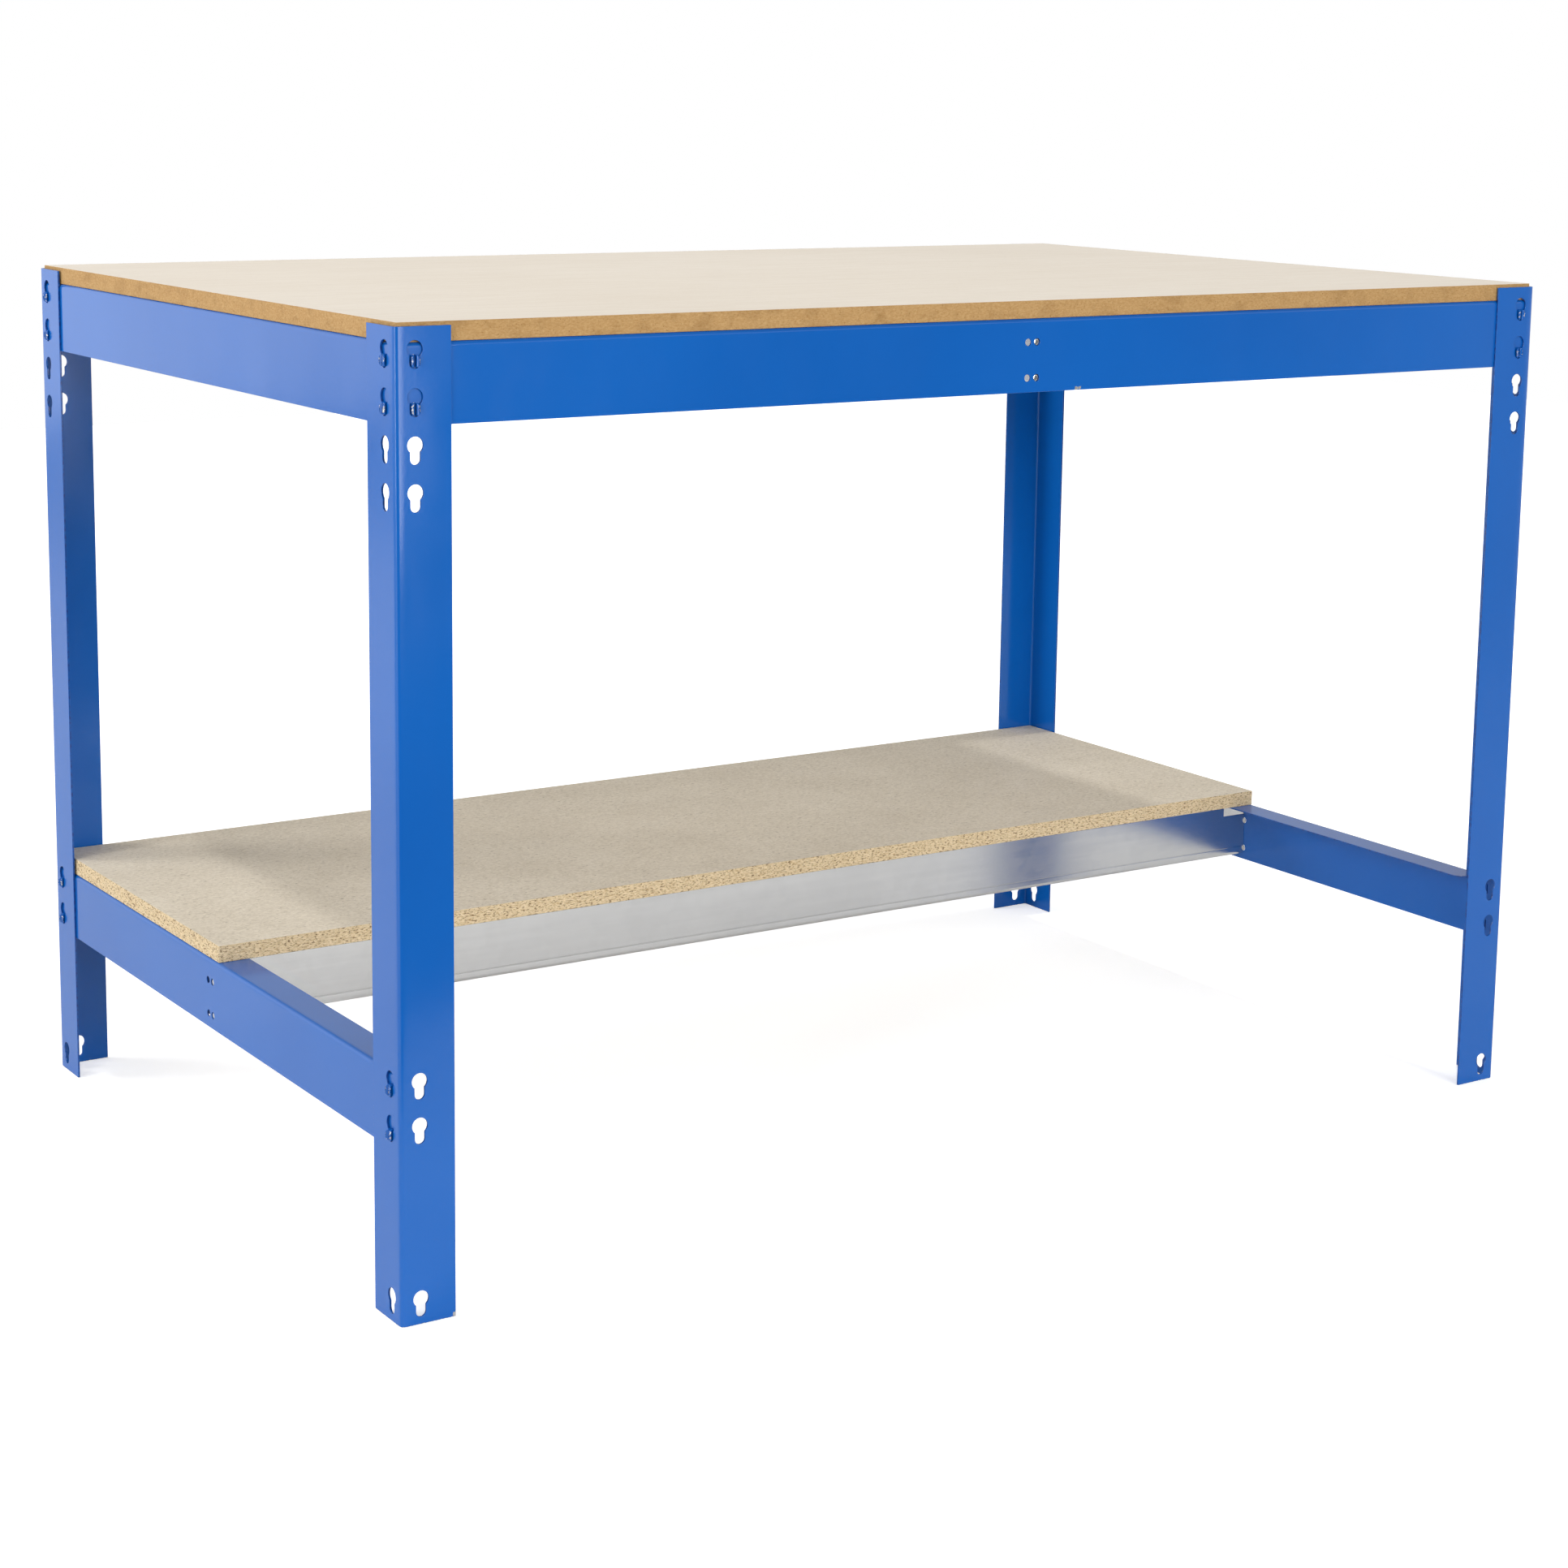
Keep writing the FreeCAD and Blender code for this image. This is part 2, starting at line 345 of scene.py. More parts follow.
# in each look a noise is given by scale, detail, roughness and stretch
bluePaintLook = {
    "blue": (0.003, 0.112, 0.45),
    "deepBlue": (0.0025, 0.098, 0.405),
    # colour of the cut edges: thinner paint, and painted shade on the hole walls
    "thinPaintAndShade": (0.012, 0.045, 0.20),
    "steel": (0.66, 0.64, 0.61),
    "roughness": (0.11, 0.19),
    "bareRoughness": 0.2,
    "refraction": 1.5,
    "cloud": (2.6, 3),
    "flecks": (240, 3),
    "ragged": (520, 4, 0.65),
    "smears": (14, 4, 0.6, (1, 1, 0.4)),
    "peel": (330, 2, 0.55),
    "peelDepth": 0.035,
    "waves": (7, 1),
    "waveDepth": 0.55,
    "footRub": (1.6, 0.62),  # height and strength of the rubbed line where the feet stand
    "chipCore": 0.35,
    "chipStrength": 0.75,
    "chipDepth": 0.12,
    # chipped spots: place in metres and reach in millimetres
    "chips": (((-0.5805, -0.4, 0.002), 4.5), ((0.0508, -0.398, 0.7474), 3.4), ((0.0548, -0.398, 0.748), 2.6)),
}


def makeBluePaint(name, rubbed):
    look = bluePaintLook
    material, place = newMaterial(name)
    cloud = noise(place, *look["cloud"])
    colour = mixColour(ramp(cloud, 0.35, 0.65), look["blue"], look["deepBlue"])

    # cut edges, the walls of the holes among them, are thinner in paint and darker; the darkening is partly
    # painted shade on the hole walls
    cutEdge = attribute(material, "cutEdge")
    flecks = noise(place, *look["flecks"])
    thinAndShaded = calc("MULTIPLY", cutEdge, ramp(flecks, 0.42, 0.6, 0.25, 0.9))
    colour = mixColour(thinAndShaded, colour, look["thinPaintAndShade"])

    # chips where the paint has been knocked off, and a rubbed line where the feet stand
    height = link("ShaderNodeSeparateXYZ", {"Vector": place}).outputs["Z"]
    rubHeight, rubStrength = look["footRub"]
    worn = ramp(height, 0.0, rubHeight * mm, rubStrength, 0.0)
    for spot, reach in look["chips"]:
        away = vectorCalc("DISTANCE", place, spot)
        chip = ramp(away, reach * look["chipCore"] * mm, reach * mm, look["chipStrength"], 0.0)
        worn = calc("MAXIMUM", worn, chip)
    if rubbed:
        worn = calc("MAXIMUM", worn, attribute(material, "rub"))
    ragged = ramp(noise(place, *look["ragged"]), 0.2, 0.8, 0.0, 0.75)
    bare = ramp(calc("ADD", worn, ragged), 0.86, 0.93)
    colour = mixColour(bare, colour, look["steel"])

    smears = noise(place, *look["smears"])
    gloss = ramp(smears, 0.35, 0.7, *look["roughness"])
    gloss = calc("ADD", gloss, calc("MULTIPLY", bare, look["bareRoughness"]))
    waves = bumps(noise(place, *look["waves"]), look["waveDepth"] * mm)
    peel = bumps(noise(place, *look["peel"]), look["peelDepth"] * mm, waves)
    chipped = bumps(calc("SUBTRACT", 1.0, bare), look["chipDepth"] * mm, peel)
    return paint(material, {
        "Base Color": colour, "Metallic": bare, "Roughness": gloss, "IOR": look["refraction"],
        "Normal": chipped})


galvanisedLook = {
    "pale": (0.73, 0.73, 0.72),
    "dull": (0.53, 0.53, 0.53),
    "roughness": (0.17, 0.23),
    "spangleScale": 95,
    "marks": (150, 5, 0.65),
    "cloud": (6, 3),
    "fine": (240, 3, 0.5),
    "fineDepth": 0.003,
    "waves": (9, 1),
    "waveDepth": 0.3,
}


def makeGalvanised(name, stretch):
    # stretch runs the roll marks along the piece's own length
    look = galvanisedLook
    material, place = newMaterial(name)
    grain = grains(place, look["spangleScale"])
    marks = noise(place, *look["marks"], stretch)
    cloud = noise(place, *look["cloud"])
    tone = calc("ADD", calc("MULTIPLY", grain, 0.06), ramp(marks, 0.3, 0.75, 0.0, 0.15))
    tone = calc("ADD", tone, ramp(cloud, 0.35, 0.65, 0.0, 0.25))
    colour = mixColour(tone, look["pale"], look["dull"])
    rough = ramp(marks, 0.2, 0.8, *look["roughness"])
    rough = calc("ADD", rough, calc("MULTIPLY", grain, 0.02))
    waves = bumps(noise(place, *look["waves"]), look["waveDepth"] * mm)
    fine = noise(place, *look["fine"], stretch)
    fine = bumps(fine, look["fineDepth"] * mm, waves)
    return paint(material, {"Base Color": colour, "Metallic": 1.0, "Roughness": rough, "Normal": fine})


fibreboardLook = {
    "face": (0.815, 0.746, 0.65),
    "faceStreak": (0.747, 0.667, 0.56),
    "edge": (0.385, 0.215, 0.078),
    "edgeDark": (0.24, 0.125, 0.04),
    "edgePale": (0.51, 0.335, 0.15),
    "streaks": (14, 6, 0.62, (1, 7, 1)),
    "fibres": (160, 4, 0.65, (1, 6, 1)),
    "fibreDepth": 0.03,
    "cloud": (2.2, 3),
    "specks": (420, 2, 0.5, (1, 2.5, 1)),
    "fluff": (330, 5, 0.7, (1, 1, 2.2)),
    "fluffDepth": 0.22,
    "blots": (45, 4, 0.6, (1, 1, 1.6)),
    "edgeSpecks": (620, 2),
}


def makeFibreboardFace():
    look = fibreboardLook
    material, place = newMaterial("fibreboardFace")
    streaks = noise(place, *look["streaks"])
    fibres = noise(place, *look["fibres"])
    cloud = noise(place, *look["cloud"])
    tone = ramp(streaks, 0.35, 0.7, 0.0, 0.5)
    tone = calc("ADD", tone, ramp(fibres, 0.45, 0.75, 0.0, 0.4))
    tone = calc("ADD", tone, ramp(cloud, 0.4, 0.65, 0.0, 0.3))
    colour = mixColour(tone, look["face"], look["faceStreak"])
    specks = noise(place, *look["specks"])
    colour = mixColour(ramp(specks, 0.7, 0.78, 0.0, 0.5), colour, look["edge"])
    rough = ramp(fibres, 0.3, 0.7, 0.6, 0.75)
    raised = bumps(fibres, look["fibreDepth"] * mm)
    return paint(material, {
        "Base Color": colour, "Roughness": rough, "Specular IOR Level": 0.2, "Normal": raised})


def makeFibreboardEdge():
    look = fibreboardLook
    material, place = newMaterial("fibreboardEdge")
    fluff = noise(place, *look["fluff"])
    blots = noise(place, *look["blots"])
    colour = mixColour(ramp(fluff, 0.35, 0.7), look["edge"], look["edgePale"])
    colour = mixColour(ramp(blots, 0.5, 0.75, 0.0, 0.5), colour, look["edgeDark"])
    specks = noise(place, *look["edgeSpecks"])
    colour = mixColour(ramp(specks, 0.63, 0.72, 0.0, 0.8), colour, look["edgeDark"])
    raised = bumps(fluff, look["fluffDepth"] * mm)
    return paint(material, {
        "Base Color": colour, "Roughness": 0.85, "Specular IOR Level": 0.2, "Normal": raised})


chipboardLook = {
    "face": (0.6, 0.522, 0.405),
    "facePale": (0.84, 0.765, 0.63),
    "faceDark": (0.32, 0.26, 0.183),
    "core": (0.56, 0.42, 0.235),
    "coreDark": (0.18, 0.105, 0.045),
    "flakePale": (0.78, 0.64, 0.42),
    "flakeBrown": (0.45, 0.30, 0.145),
    "crumbScale": 520,
    "crumbStretch": (0.7, 1, 1),
    "dust": (260, 5, 0.7),
    "dustDepth": 0.05,
    "cloud": (9, 4, 0.6),
    "specks": (360, 3, 0.6, (0.5, 1, 1)),
    "shreds": (620, 5, 0.7, (0.4, 0.4, 1.4)),
    "pits": (720, 3, 0.6, (0.4, 0.4, 1)),
    "edgeDepth": 0.5,
    "flakeFibres": (900, 2),
}


def makeChipboardFace():
    look = chipboardLook
    material, place = newMaterial("chipboardFace")
    grain = grains(stretched(place, look["crumbStretch"]), look["crumbScale"])
    dust = noise(place, *look["dust"])
    cloud = noise(place, *look["cloud"])
    tone = calc("ADD", calc("MULTIPLY", grain, 0.45), ramp(dust, 0.3, 0.7, 0.0, 0.4))
    tone = calc("ADD", tone, ramp(cloud, 0.35, 0.65, 0.0, 0.2))
    colour = mixColour(tone, look["facePale"], look["face"])
    specks = noise(place, *look["specks"])
    colour = mixColour(ramp(specks, 0.6, 0.72, 0.0, 0.75), colour, look["faceDark"])
    rough = ramp(dust, 0.3, 0.7, 0.55, 0.72)
    raised = bumps(dust, look["dustDepth"] * mm)
    return paint(material, {
        "Base Color": colour, "Roughness": rough, "Specular IOR Level": 0.15, "Normal": raised})


def makeChipboardEdge():
    look = chipboardLook
    material, place = newMaterial("chipboardEdge")
    shreds = noise(place, *look["shreds"])
    pits = noise(place, *look["pits"])
    colour = mixColour(ramp(shreds, 0.35, 0.65), look["core"], look["flakePale"])
    colour = mixColour(ramp(pits, 0.52, 0.62), colour, look["coreDark"])
    raised = bumps(calc("SUBTRACT", shreds, pits), look["edgeDepth"] * mm)
    return paint(material, {"Base Color": colour, "Roughness": 0.8, "Normal": raised})


def makeFlake():
    look = chipboardLook
    material, place = newMaterial("chipboardFlake")
    tone = attribute(material, "flakeTone")
    fibres = noise(place, *look["flakeFibres"])
    colour = mixColour(ramp(tone, 0.45, 0.95), look["flakePale"], look["flakeBrown"])
    colour = mixColour(ramp(fibres, 0.4, 0.7, 0.0, 0.45), colour, look["core"])
    return paint(material, {"Base Color": colour, "Roughness": 0.7, "Specular IOR Level": 0.3})


bluePaint = makeBluePaint("bluePaint", False)
lugPaint = makeBluePaint("lugPaint", True)
galvanisedAcross = makeGalvanised("galvanisedAcross", (0.04, 1, 1))
galvanisedAlong = makeGalvanised("galvanisedAlong", (1, 0.04, 1))
fibreboardFace = makeFibreboardFace()
fibreboardEdge = makeFibreboardEdge()
chipboardFace = makeChipboardFace()
chipboardEdge = makeChipboardEdge()
flakeWood = makeFlake()
print("finishes made")


# Folded sheet: a flat blank is punched, then folded along the line of its section
def quarterBend(radius, lead, leadTurn, arcSteps=10, leadSteps=4):
    # a left turn from the origin along +X, easing slowly into the flats
    slow = radians(leadTurn) / leadSteps
    quick = (pi / 2 - 2 * radians(leadTurn)) / arcSteps
    easing = [(lead / leadSteps, slow)] * leadSteps if lead else []
    here, heading = Vector((0, 0)), 0.0
    points = [here.copy()]
    for length, turn in easing + [(radius * quick, quick)] * arcSteps + easing:
        chord = 2 * length / turn * sin(turn / 2)
        here += Vector((cos(heading + turn / 2), sin(heading + turn / 2))) * chord
        heading += turn
        points.append(here.copy())
    return points


def sectionLine(corners, radius, lead=0.0, leadTurn=0.0):
    corners = [Vector(c) for c in corners]
    bend = quarterBend(radius, lead, leadTurn)
    line = [corners[0]]
    for before, corner in zip(corners, corners[1:-1]):
        along = (corner - before).normalized()
        left = Vector((-along.y, along.x))
        start = corner - along * bend[-1].x
        line += [start + along * p.x + left * p.y for p in bend]
    return line + [corners[-1]]


def stationsOf(line):
    along = [0.0]
    for a, b in zip(line, line[1:]):
        along.append(along[-1] + (b - a).length)
    return along


sameSpot = 1e-6  # millimetres


def flatBlank(name, line, side, sheet):
    # side lists the blank's half length at places across it; rows of points stand on every fold line
    stations = stationsOf(line)
    rows = list(side)
    for station in stations:
        if all(abs(u - station) > sameSpot for u, half in rows):
            index = next(i for i, (u, half) in enumerate(rows) if u > station)
            (u0, h0), (u1, h1) = rows[index - 1], rows[index]
            rows.insert(index, (station, h0 + (h1 - h0) * (station - u0) / (u1 - u0)))
    points = []
    for u, half in rows:
        points += [(u, half, 0), (u, -half, 0), (u, half, sheet), (u, -half, sheet)]
    folds = [i for i, (u, half) in enumerate(rows) if any(abs(u - s) < sameSpot for s in stations)]
    faces = []
    for low, high in zip(folds, folds[1:]):
        span = range(low, high + 1)
        faces.append([4 * i for i in span] + [4 * i + 1 for i in reversed(span)])
        faces.append([4 * i + 2 for i in span] + [4 * i + 3 for i in reversed(span)])
    for i in range(len(rows) - 1):
        faces.append([4 * i, 4 * i + 4, 4 * i + 6, 4 * i + 2])
        faces.append([4 * i + 1, 4 * i + 5, 4 * i + 7, 4 * i + 3])
    for i in (0, len(rows) - 1):
        faces.append([4 * i, 4 * i + 1, 4 * i + 3, 4 * i + 2])
    return addObject(name, solidFrom(name, [Vector(p) * mm for p in points], faces))


def sectionObject(name, line):
    curve = bpy.data.curves.new(name, "CURVE")
    curve.dimensions = "3D"
    spline = curve.splines.new("POLY")
    spline.points.add(len(line) - 1)
    for point, spot in zip(spline.points, line):
        point.co = (spot.x * mm, spot.y * mm, 0, 1)
    return addObject(name, curve)


def punchTool(name, outline, reach=6.0):
    count = len(outline)
    points = [Vector((x, y, z)) * mm for z in (-reach, reach) for x, y in outline]
    faces = [list(range(count))[::-1], list(range(count, 2 * count))]
    for i in range(count):
        j = (i + 1) % count
        faces.append([i, j, count + j, count + i])
    return addObject(name, meshFrom(name, points, faces))


def arcPoints(centre, radius, start, end, steps):
    turns = [radians(start + (end - start) * i / steps) for i in range(steps + 1)]
    return [(centre[0] + radius * cos(a), centre[1] + radius * sin(a)) for a in turns]


def makePunchTree():
    # one press tool, repeated in rows and columns and taken out of the blank
    tree, given = makeTree("punchGrid", [
        ("Tool", "Object"), ("Columns", "Int"), ("Column Step", "Vector"), ("Rows", "Int"),
        ("Row Step", "Vector"), ("First", "Vector"), ("Material", "Material"),
    ])
    columns = link("GeometryNodeMeshLine", {
        "Count": given["Columns"], "Start Location": given["First"], "Offset": given["Column Step"]})
    rows = link("GeometryNodeMeshLine", {"Count": given["Rows"], "Offset": given["Row Step"]})
    grid = link("GeometryNodeInstanceOnPoints", {"Points": columns, "Instance": rows})
    spots = link("GeometryNodeRealizeInstances", {"Geometry": grid})
    tool = link("GeometryNodeObjectInfo", {"Object": given["Tool"]})
    tools = link("GeometryNodeInstanceOnPoints", {"Points": spots, "Instance": tool.outputs["Geometry"]})
    solid = link("GeometryNodeRealizeInstances", {"Geometry": tools})
    punched = link("GeometryNodeMeshBoolean", {"Mesh 1": given["Geometry"], "Mesh 2": solid},
                   operation="DIFFERENCE", solver="EXACT")
    closeTree(punched, given["Material"])
    return tree


def makeFoldTree():
    # lays the flat blank along its section line: across it, through the sheet, and along the piece
    tree, given = makeTree("foldSheet", [("Section", "Object"), ("Material", "Material")])
    # the blank's upright faces are its cut edges
    facing = link("ShaderNodeSeparateXYZ", {0: put(tree, "GeometryNodeInputNormal")})
    cut = calc("LESS_THAN", calc("ABSOLUTE", facing.outputs["Z"]), 0.5)
    marked = link("GeometryNodeStoreNamedAttribute",
                  {"Geometry": given["Geometry"], "Name": "cutEdge", "Value": cut},
                  data_type="FLOAT", domain="FACE")
    flat = link("ShaderNodeSeparateXYZ", {0: put(tree, "GeometryNodeInputPosition")})
    section = link("GeometryNodeObjectInfo", {"Object": given["Section"]})
    onLine = link("GeometryNodeSampleCurve",
                  {"Curves": section.outputs["Geometry"], "Length": flat.outputs["X"]}, mode="LENGTH")
    inward = vectorCalc("CROSS_PRODUCT", (0, 0, 1), onLine.outputs["Tangent"])
    depth = link("ShaderNodeVectorMath", {0: inward, "Scale": flat.outputs["Z"]}, operation="SCALE")
    run = link("ShaderNodeCombineXYZ", {"Z": flat.outputs["Y"]})
    spot = vectorCalc("ADD", onLine.outputs["Position"], depth)
    spot = vectorCalc("ADD", spot, run)
    folded = link("GeometryNodeSetPosition", {"Geometry": marked, "Position": spot})
    turned = link("GeometryNodeFlipFaces", {"Mesh": folded})
    smooth = link("GeometryNodeSetShadeSmooth", {0: turned})
    closeTree(smooth, given["Material"])
    return tree


punchGrid = makePunchTree()
foldSheet = makeFoldTree()


def punchRows(tool, columnStep, rows, rowStep, first):
    # two columns of a tool, with the steps and the first place in millimetres across, along and through
    steps = {"Column Step": columnStep, "Row Step": rowStep, "First": first}
    return {"Tool": tool, "Columns": 2, "Rows": rows, **{k: [v * mm for v in s] for k, s in steps.items()}}


def pressPiece(name, line, side, sheet, punches, material, ease):
    blank = flatBlank(name, line, side, sheet)
    for punch in punches:
        runTree(blank, punchGrid, {"Material": material, **punch})
    section = sectionObject(name + "Section", line)
    runTree(blank, foldSheet, {"Section": section, "Material": material})
    easeEdges(blank, ease)
    mesh = settle(blank)
    discard(blank, section)
    return mesh


def placePiece(name, mesh, turn, spot):
    copy = mesh.copy()
    copy.name = name
    copy.transform(Matrix.Translation(Vector(spot) * mm) @ Matrix.Rotation(radians(turn), 4, "Z"))
    return addObject(name, copy)


# Uprights: equal angles with rows of keyholes in both flanges
uprightSizes = {
    "halfWidth": 630.0,
    "halfDepth": 400.0,
    "height": 825.0,
    "flange": 50.0,
    "sheet": 2.0,
    "bendRadius": 4.0,
    "bendLead": 5.0,
    "bendLeadTurn": 2.4,
    "ease": 0.35,
    "inset": 18.0,
    "pitch": 38.0,
    "entryRadius": 7.0,
    "slotRadius": 4.5,
    "slotDrop": 11.0,
    "entrySteps": 30,
    "slotSteps": 14,
    "rowGroups": ((807.0, 4), (209.0, 2), (22.0, 1)),  # height of a group's first row, and its rows
    # node, turn, and the side of the bench in X and in Y
    "corners": {
        "frontLeft": ("upright_front_left", 0, -1, -1),
        "frontRight": ("upright_front_right", 90, 1, -1),
        "backRight": ("upright_back_right", 180, 1, 1),
        "backLeft": ("upright_back_left", 270, -1, 1),
    },
}


def keyholeOutline():
    entry, slot, drop = (uprightSizes[k] for k in ("entryRadius", "slotRadius", "slotDrop"))
    meet = degrees(asin(sqrt(entry**2 - slot**2) / entry))
    above = arcPoints((0, 0), entry, -meet, 180 + meet, uprightSizes["entrySteps"])
    return above + arcPoints((0, -drop), slot, 180, 360, uprightSizes["slotSteps"])


def makeUprights():
    sizes = uprightSizes
    line = sectionLine([(0, sizes["flange"]), (0, 0), (sizes["flange"], 0)], sizes["bendRadius"],
                       sizes["bendLead"], sizes["bendLeadTurn"])
    width = stationsOf(line)[-1]
    half = sizes["height"] / 2
    tool = punchTool("keyholeTool", keyholeOutline())
    firstColumn = sizes["flange"] - sizes["inset"]
    apart, down, through = (width - 2 * firstColumn, 0, 0), (0, -sizes["pitch"], 0), sizes["sheet"] / 2
    punches = [punchRows(tool, apart, rows, down, (firstColumn, level - half, through))
               for level, rows in sizes["rowGroups"]]
    side = [(0, half), (width, half)]
    mesh = pressPiece("upright", line, side, sizes["sheet"], punches, bluePaint, sizes["ease"])
    discard(tool)
    for corner, (node, turn, x, y) in sizes["corners"].items():
        name = "upright" + corner[0].upper() + corner[1:]
        upright = placePiece(name, mesh, turn, (x * sizes["halfWidth"], y * sizes["halfDepth"], half))
        finishPiece(upright, "frame", "blue_paint", node)


makeUprights()
print("uprights pressed")


# The bench's sides: half the run between the uprights, and the turn and place of a beam there
halfAcross = uprightSizes["halfWidth"] - uprightSizes["sheet"]
halfDeep = uprightSizes["halfDepth"] - uprightSizes["sheet"]
benchSides = {
    "front": {"halfRun": halfAcross, "turn": 0, "at": (0, -halfDeep)},
    "back": {"halfRun": halfAcross, "turn": 180, "at": (0, halfDeep)},
    "left": {"halfRun": halfDeep, "turn": -90, "at": (-halfAcross, 0)},
    "right": {"halfRun": halfDeep, "turn": 90, "at": (halfAcross, 0)},
}
beamTops = {"top": 812.0864, "low": 214.0864}


def onBeam(side, level, along, drop):
    # a place on a beam's outer face, by the way along from its middle and down from its top
    place = benchSides[side]
    spin = Matrix.Rotation(radians(place["turn"]), 3, "Z")
    return (spin @ Vector((along, 0, 0)) + Vector((*place["at"], beamTops[level] - drop))) * mm


# Beams: a web with an inward flange, mitred at the corners, with slits behind the lugs
beamSizes = {
    "sheet": 1.5,
    "bendRadius": 4.0,
    "bendLead": 2.0,
    "bendLeadTurn": 1.4,
    "ease": 0.3,
    "flange": 32.0,
    "web": 66.0,
    "endClearance": 4.5,
    "mitreGap": 1.0,
    "lugFromEnd": 16.0,
    "lugBelowTop": 14.5,
    "lugPitch": 38.0,
    "lugRows": 2,
    "slitWidth": 1.3,
    "slitHeight": 10.0,
    "tieHoleRadius": 3.25,
    "tieHoleSides": 24,
    "tieHoleBelowTop": 21.0,
    "tieHolePitch": 32.0,
    "tieHoleRows": 2,
    "tieHoleSpacing": 10.0,
    # node, side, level, and whether it has tie holes
    "beams": {
        "topBeamFront": ("top_beam_front", "front", "top", True),
        "topBeamBack": ("top_beam_back", "back", "top", True),
        "topBeamLeft": ("top_beam_left", "left", "top", False),
        "topBeamRight": ("top_beam_right", "right", "top", False),
        "lowerBeamLeft": ("lower_beam_left", "left", "low", True),
        "lowerBeamRight": ("lower_beam_right", "right", "low", True),
        "lowerBeamBack": ("lower_beam_back", "back", "low", False),
    },
}


def rowsBelow(kind):
    # how far the rows of lugs or of tie holes lie below a beam's top
    first, pitch = beamSizes[kind + "BelowTop"], beamSizes[kind + "Pitch"]
    return [first + row * pitch for row in range(beamSizes[kind + "Rows"])]


# turns a folded piece so that its section lies in Y and Z and its run along X
lieAlongX = Matrix(((0, 0, 1, 0), (1, 0, 0, 0), (0, 1, 0, 0), (0, 0, 0, 1)))


def makeBeam(halfRun, holed, slitTool, holeTool):
    sizes = beamSizes
    line = sectionLine([(sizes["flange"], 0), (0, 0), (0, -sizes["web"])], sizes["bendRadius"],
                       sizes["bendLead"], sizes["bendLeadTurn"])
    width = stationsOf(line)[-1]
    tip = halfRun - sizes["mitreGap"] - sizes["flange"]
    end = halfRun - sizes["sheet"] - sizes["endClearance"]
    side = [(0, tip), (end - tip, end), (width, end)]
    lugRow = width - sizes["web"] + sizes["lugBelowTop"]
    lugColumn = halfRun - sizes["lugFromEnd"]
    through = sizes["sheet"] / 2
    punches = [punchRows(slitTool, (0, 2 * lugColumn, 0), sizes["lugRows"], (sizes["lugPitch"], 0, 0),
                         (lugRow, -lugColumn, through))]
    if holed:
        spacing = sizes["tieHoleSpacing"]
        rowStep = (sizes["tieHolePitch"], 0, 0)
        first = (width - sizes["web"] + sizes["tieHoleBelowTop"], -spacing / 2, through)
        punches.append(punchRows(holeTool, (0, spacing, 0), sizes["tieHoleRows"], rowStep, first))
    mesh = pressPiece("beam", line, side, sizes["sheet"], punches, bluePaint, sizes["ease"])
    mesh.transform(lieAlongX)
    return mesh


def makeBeams():
    sizes = beamSizes
    high, wide = sizes["slitHeight"] / 2, sizes["slitWidth"] / 2
    slitTool = punchTool("slitTool", [(-high, -wide), (high, -wide), (high, wide), (-high, wide)])
    corners = sizes["tieHoleSides"]
    hole = arcPoints((0, 0), sizes["tieHoleRadius"], 0, 360 - 360 / corners, corners - 1)
    holeTool = punchTool("holeTool", hole)
    made = {}
    for name, (node, side, level, holed) in sizes["beams"].items():
        place = benchSides[side]
        kind = (place["halfRun"], holed)
        if kind not in made:
            made[kind] = makeBeam(*kind, slitTool, holeTool)
        beam = placePiece(name, made[kind], place["turn"], (*place["at"], beamTops[level]))
        finishPiece(beam, "frame", "blue_paint", node)
    discard(slitTool, holeTool)


makeBeams()
print("beams pressed")


# Lugs: pairs of rounded ears that stand out of each beam through the keyholes
lugSizes = {
    "sheet": 2.1,
    "halfHeight": 5.0,
    "slitHalf": beamSizes["slitWidth"] / 2,
    "rootDepth": 0.75,
    "neck": 2.3,
    "innerRadius": 0.6,
    "flare": 50.0,
    "tail": 1.95,
    "roundness": 2.4,
    "arcSteps": 6,
    "tailSteps": 7,
    "tailBunching": 1.6,  # the steps crowd towards the tip
    "tipMargin": 1.03,  # keeps the tip's last section from closing to a point
    "wear": 0.52,
    "ease": 0.6,
    "easeSegments": 3,
    "wobble": 1.2,
    "seed": 11,
}


def earLoft(side):
    # sections from the root to the tip, as (inner point, outer point, half height, share of the way)
    sizes = lugSizes
    sheet, inner, flare = sizes["sheet"], sizes["innerRadius"], radians(sizes["flare"])
    faceX = sizes["slitHalf"] + sheet
    straight = sizes["neck"] - inner * tan(flare / 2)
    centre = Vector((faceX + inner, -straight))
    sections = [(Vector((faceX, depth)), Vector((-1, 0)), 0.0) for depth in (sizes["rootDepth"], 0)]
    arcSteps, tailSteps = sizes["arcSteps"], sizes["tailSteps"]
    middle = inner + sheet / 2
    for i in range(arcSteps + 1):
        angle = flare * i / arcSteps
        away = Vector((-cos(angle), -sin(angle)))
        sections.append((centre + away * inner, away, middle * angle))
    travelled = middle * flare
    along = Vector((sin(flare), -cos(flare)))
    tail = sizes["tail"] - inner * tan(flare / 2)
    base, away = sections[-1][:2]
    for i in range(1, tailSteps + 1):
        step = tail * (1 - (1 - i / tailSteps) ** sizes["tailBunching"])
        sections.append((base + along * step, away, travelled + step))
    whole = (travelled + tail) * sizes["tipMargin"]
    loft = []
    for spot, away, reach in sections:
        share = (1 - (reach / whole) ** sizes["roundness"]) ** (1 / sizes["roundness"])
        outer = spot + away * sheet
        loft.append((Vector((side * spot.x, spot.y)), Vector((side * outer.x, outer.y)),
                     sizes["halfHeight"] * share, reach / whole))
    return loft


